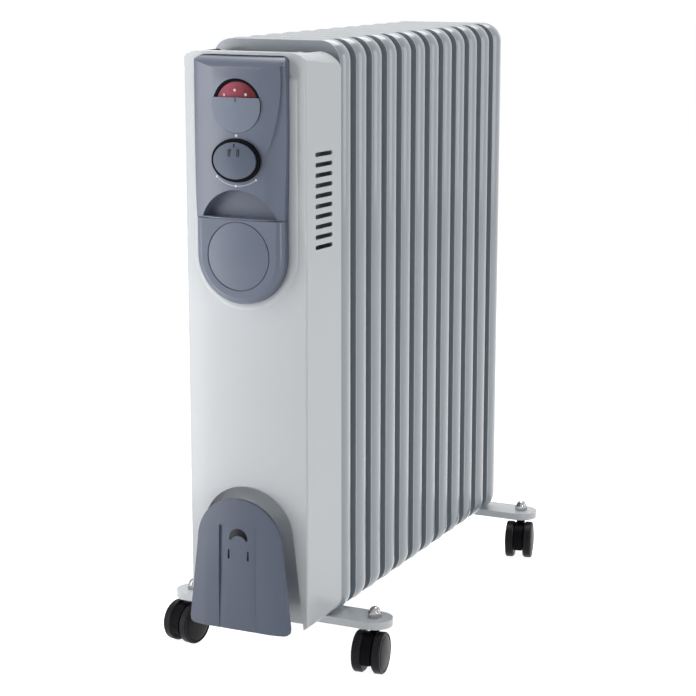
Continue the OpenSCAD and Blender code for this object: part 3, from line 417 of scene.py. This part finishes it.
def mark_selector():
    x, z = middle("selector_knob")
    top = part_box("selector_knob")[1].z
    printed("mark_selector_pointer", bar_outline(x, top - POINTER_DROP, *POINTER_SIZE),
            "selector_knob", "selector", DARK_INK, flat=True)
    for k, side in enumerate((-1, 1)):
        outline = bar_outline(x + side * BAR_SIDE, z + BAR_UP, *BAR_SIZE)
        printed(f"mark_selector_bar_{k + 1}", outline, "selector_knob", "selector", DARK_INK,
                flat=True)


mark_control_panel()
mark_selector()


# ---------- Stage and lights ----------

WORLD_LIGHT = 0.10     # strength of the white surroundings where no ray sees them directly
FLOOR_GLOW = 0.93
FLOOR_SIZE = 40
FLOOR_DROP = 0.0002    # below the castors
FLOOR_COLOUR = grey(0.86)
FLOOR_ROUGH = 0.9


def seen_by(tree, rays, unseen, seen):
    """The value seen for the named kinds of ray, and the value unseen for the others."""
    path = tree.nodes.new("ShaderNodeLightPath")
    any_ray = path.outputs[rays[0]]
    for ray in rays[1:]:
        either = tree.nodes.new("ShaderNodeMath")
        either.operation = "MAXIMUM"
        tree.links.new(any_ray, either.inputs[0])
        tree.links.new(path.outputs[ray], either.inputs[1])
        any_ray = either.outputs["Value"]
    level = tree.nodes.new("ShaderNodeMapRange")
    level.inputs["To Min"].default_value = unseen
    level.inputs["To Max"].default_value = seen
    tree.links.new(any_ray, level.inputs["Value"])
    return level.outputs["Result"]


def background():
    """White for the camera, in reflections and through clear pieces; dim as a light."""
    world = bpy.data.worlds.new("studio")
    world.use_nodes = True
    t = world.node_tree
    bg = t.nodes["Background"]
    bg.inputs["Color"].default_value = (*WHITE, 1)
    rays = ("Is Camera Ray", "Is Glossy Ray", "Is Transmission Ray")
    t.links.new(seen_by(t, rays, WORLD_LIGHT, 1.0), bg.inputs["Strength"])
    scene.world = world


def floor():
    """Pale floor that glows for the camera and in reflections, so that it meets the white."""
    bpy.ops.mesh.primitive_plane_add(size=FLOOR_SIZE, location=(0, 0, cad_box[0][2] - FLOOR_DROP))
    o = bpy.context.object
    o.name = "studio_floor"
    m, t, p = new_material("studio_floor")
    p.inputs["Base Color"].default_value = (*FLOOR_COLOUR, 1)
    p.inputs["Roughness"].default_value = FLOOR_ROUGH
    p.inputs["Specular IOR Level"].default_value = 0.0
    p.inputs["Emission Color"].default_value = (*WHITE, 1)
    glow = seen_by(t, ("Is Camera Ray", "Is Glossy Ray"), 0.0, FLOOR_GLOW)
    t.links.new(glow, p.inputs["Emission Strength"])
    o.data.materials.append(m)


def area(name, place, towards, width, height, power):
    light = bpy.data.lights.new(name, "AREA")
    light.energy = power
    light.shape = "RECTANGLE"
    light.size = width
    light.size_y = height
    o = bpy.data.objects.new(name, light)
    scene.collection.objects.link(o)
    o.location = place
    o.rotation_euler = (Vector(towards) - Vector(place)).to_track_quat("-Z", "Y").to_euler()


background()
floor()
front_y = cad_box[0][1]
area("key_left", place=(-0.40, front_y - 0.33, 0.45), towards=(0, front_y, 0.40),
     width=0.2, height=1.2, power=3.0)
area("rim_right", place=(2.2, 1.2, 0.85), towards=(0.05, 0.0, 0.35),
     width=0.9, height=1.5, power=9.0)
area("corner_strip", place=(1.8, front_y - 0.93, 0.3), towards=(0.07, front_y, 0.4),
     width=0.08, height=1.3, power=12)
area("front_fill", place=(0.3, front_y - 2.2, 0.40), towards=(0, front_y, 0.2),
     width=1.2, height=1.2, power=0.3)
area("top_soft", place=(-0.2, 0.7, 2.3), towards=(0, 0, 0.5),
     width=1.6, height=1.6, power=30)


# ---------- Camera ----------

# Solved from the photo's perspective, with y counted from the second fin's seam
SEAM_TO_REAR = 0.030   # from that seam back to the fin's rear face
CAMERA = {"x": 0.9204, "y": -1.8127, "z": 0.7494, "turn": 25.33, "down": 11.76}
FOCAL_MM = 102.16
SENSOR_MM = 36
CLIP_END = 60

cam = bpy.data.objects.new("camera", bpy.data.cameras.new("camera"))
scene.collection.objects.link(cam)
scene.camera = cam
cam.data.sensor_width = SENSOR_MM
cam.data.lens = FOCAL_MM
cam.data.clip_end = CLIP_END
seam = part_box("fin_02")[1].y - SEAM_TO_REAR
cam.location = (CAMERA["x"], CAMERA["y"] + seam, CAMERA["z"])
cam.rotation_euler = (math.radians(90 - CAMERA["down"]), 0, math.radians(CAMERA["turn"]))

scene.view_settings.view_transform = "Standard"
